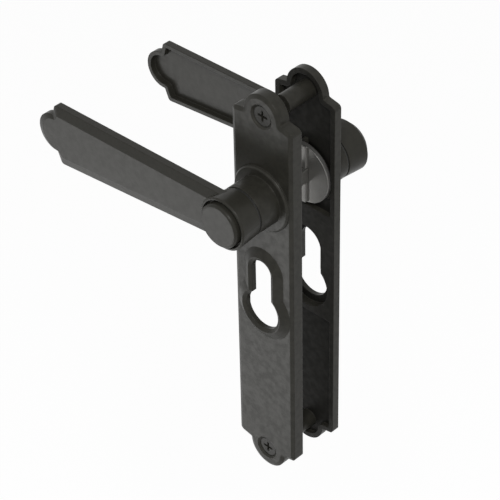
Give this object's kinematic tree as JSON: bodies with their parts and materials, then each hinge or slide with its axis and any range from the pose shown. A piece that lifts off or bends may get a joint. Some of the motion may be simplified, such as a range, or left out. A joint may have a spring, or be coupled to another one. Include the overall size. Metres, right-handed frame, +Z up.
{
  "type": "lever handle set",
  "caption": "Black lever handle set for a thin door: long backplates with rounded ends, tapered drooping levers, a keyhole for the lock cylinder and a square spindle.",
  "frame": {"origin": "centre of the round part of the cylinder hole, midway between the outer faces of the two plates", "axes": "+X along the plates' width, away from the levers; +Y from the inside of the door to the outside; +Z up the plates"},
  "size_m": [0.1203, 0.0738, 0.1851],
  "materials": {
    "plate_coat": "satin black powder coat on a zinc die casting",
    "lever_coat": "satin black powder coat on a zinc die casting",
    "cap_coat": "satin black paint",
    "screw_black": "black zinc plated steel",
    "nylon": "black nylon",
    "plain_casting": "dull grey uncoated die casting",
    "plated_steel": "zinc plated steel",
    "spring_steel": "oiled spring steel wire"
  },
  "bodies": {
    "plates": {"inside_plate": "plate_coat", "outside_plate": "plate_coat", "upper_screw": "screw_black", "lower_screw": "screw_black", "inside_bushing": "nylon", "outside_bushing": "nylon", "inside_washer": "plated_steel", "outside_washer": "plated_steel", "inside_spring": "spring_steel", "outside_spring": "spring_steel"},
    "inside_handle": {"inside_lever": "lever_coat", "inside_hub_cap": "cap_coat", "inside_shank": "plain_casting", "inside_lever_screw": "plated_steel", "spindle": "plated_steel", "spindle_pin": "plated_steel"},
    "outside_handle": {"outside_lever": "lever_coat", "outside_hub_cap": "cap_coat", "outside_shank": "plain_casting", "outside_lever_screw": "plated_steel"}
  },
  "joints": [
    {"name": "inside_lever_turn", "type": "hinge", "parent": "plates", "child": "inside_handle", "pos_m": [0, -0.0194, 0.0544], "axis": [0, -1, 0], "range_deg": [0, 40], "stiffness_Nm_per_rad": 0.25, "springref_deg": -34.38, "deforming": ["inside_spring"]},
    {"name": "outside_lever_turn", "type": "hinge", "parent": "plates", "child": "outside_handle", "pos_m": [0, 0.0184, 0.0544], "axis": [0, -1, 0], "range_deg": [0, 40], "stiffness_Nm_per_rad": 0.25, "springref_deg": -34.38, "deforming": ["outside_spring"]}
  ],
  "couplings": [
    {"joint": "outside_lever_turn", "follows": "inside_lever_turn", "ratio": 1}
  ]
}
